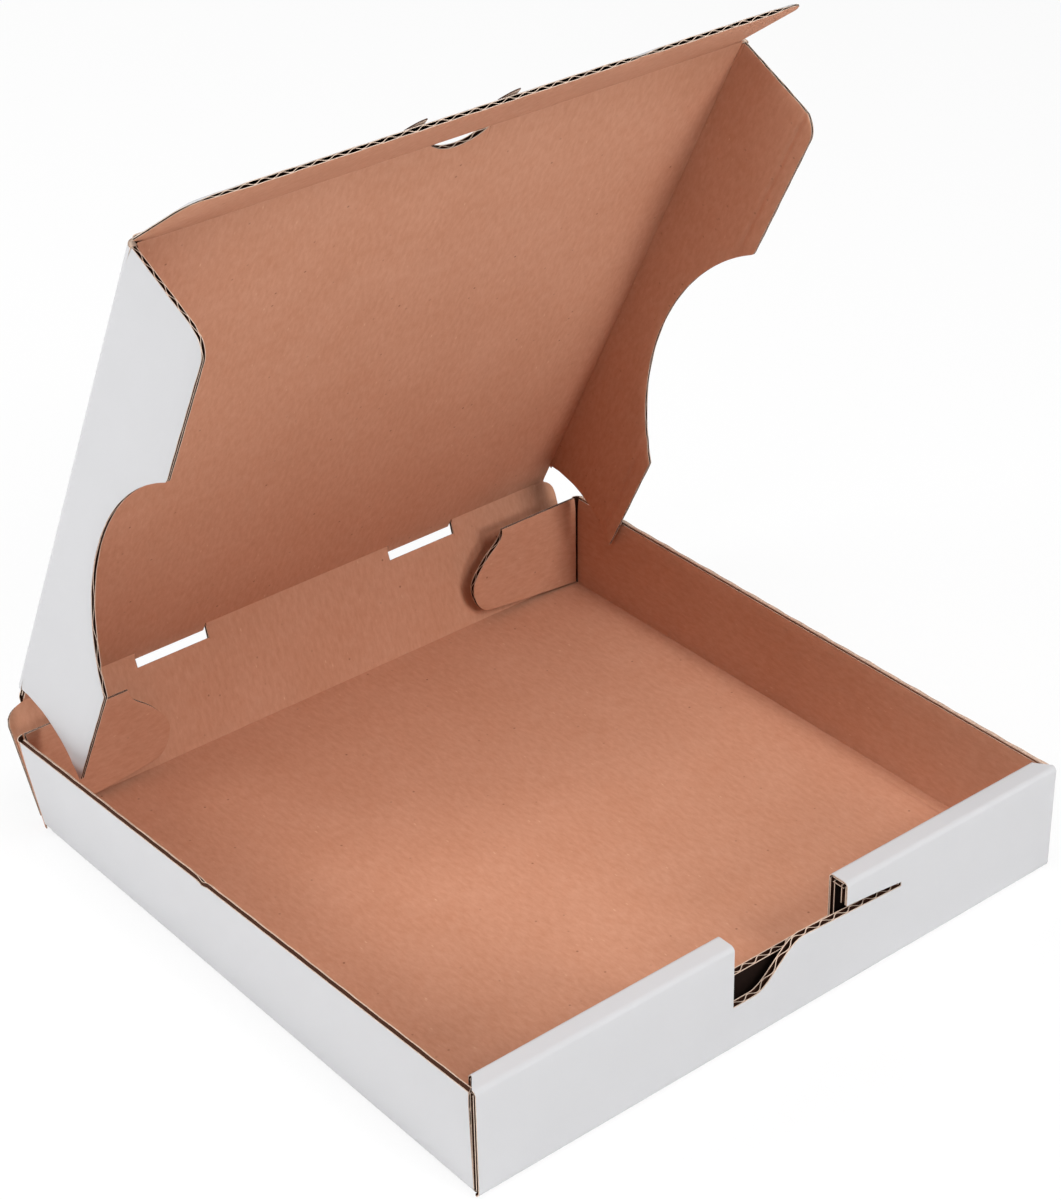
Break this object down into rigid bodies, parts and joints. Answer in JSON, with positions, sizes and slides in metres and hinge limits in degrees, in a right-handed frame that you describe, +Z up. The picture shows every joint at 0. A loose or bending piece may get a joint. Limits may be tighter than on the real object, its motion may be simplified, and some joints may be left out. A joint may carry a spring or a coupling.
{
  "type": "pizza box",
  "caption": "Square takeaway box folded from corrugated board, open: tray with a rolled front wall and finger notch, leaning rear wall, hinged lid with folding flaps.",
  "frame": {"origin": "middle of the tray's underside, on the surface it stands on", "axes": "+X to the right seen from the front, +Y to the rear wall and hinge, +Z up; the front wall faces -Y"},
  "size_m": [0.2564, 0.2667, 0.2817],
  "materials": {
    "corrugated_board": "matt, white liner outside and brown kraft liner inside"
  },
  "bodies": {
    "tray": {"tray": "corrugated_board"},
    "rear_wall": {"rear_wall": "corrugated_board"},
    "lid": {"lid": "corrugated_board"},
    "lid_left_flap": {"lid_left_flap": "corrugated_board"},
    "lid_right_flap": {"lid_right_flap": "corrugated_board"},
    "lid_front_flap": {"lid_front_flap": "corrugated_board"},
    "rear_left_corner_flap": {"rear_left_corner_flap": "corrugated_board"},
    "rear_right_corner_flap": {"rear_right_corner_flap": "corrugated_board"}
  },
  "joints": [
    {"name": "rear_wall_lean", "type": "hinge", "parent": "tray", "child": "rear_wall", "pos_m": [0, 0.1232, 0.0028], "axis": [-1, 0, 0], "range_deg": [-16.6, 30.56]},
    {"name": "lid_hinge", "type": "hinge", "parent": "rear_wall", "child": "lid", "pos_m": [0, 0.1362, 0.04379], "axis": [-1, 0, 0], "range_deg": [-47.8, 93.5]},
    {"name": "lid_left_flap_fold", "type": "hinge", "parent": "lid", "child": "lid_left_flap", "pos_m": [-0.1187, 0.1362, 0.04379], "axis": [0, -0.454, 0.891], "range_deg": [0, 85]},
    {"name": "lid_right_flap_fold", "type": "hinge", "parent": "lid", "child": "lid_right_flap", "pos_m": [0.1187, 0.1362, 0.04379], "axis": [0, 0.454, -0.891], "range_deg": [0, 85]},
    {"name": "lid_front_flap_fold", "type": "hinge", "parent": "lid", "child": "lid_front_flap", "pos_m": [0, 0.02795, 0.25625], "axis": [-1, 0, 0], "range_deg": [-61.5, 28.5]},
    {"name": "rear_left_corner_flap_fold", "type": "hinge", "parent": "tray", "child": "rear_left_corner_flap", "pos_m": [-0.1222, 0.1201, 0.0028], "axis": [0.1564, 0, -0.9877], "range_deg": [0, 55]},
    {"name": "rear_right_corner_flap_fold", "type": "hinge", "parent": "tray", "child": "rear_right_corner_flap", "pos_m": [0.1222, 0.1201, 0.0028], "axis": [0.0087, 0, 1], "range_deg": [0, 55]}
  ],
  "couplings": [
    {"joint": "rear_wall_lean", "follows": "lid_hinge", "ratio": 0.30544}
  ]
}
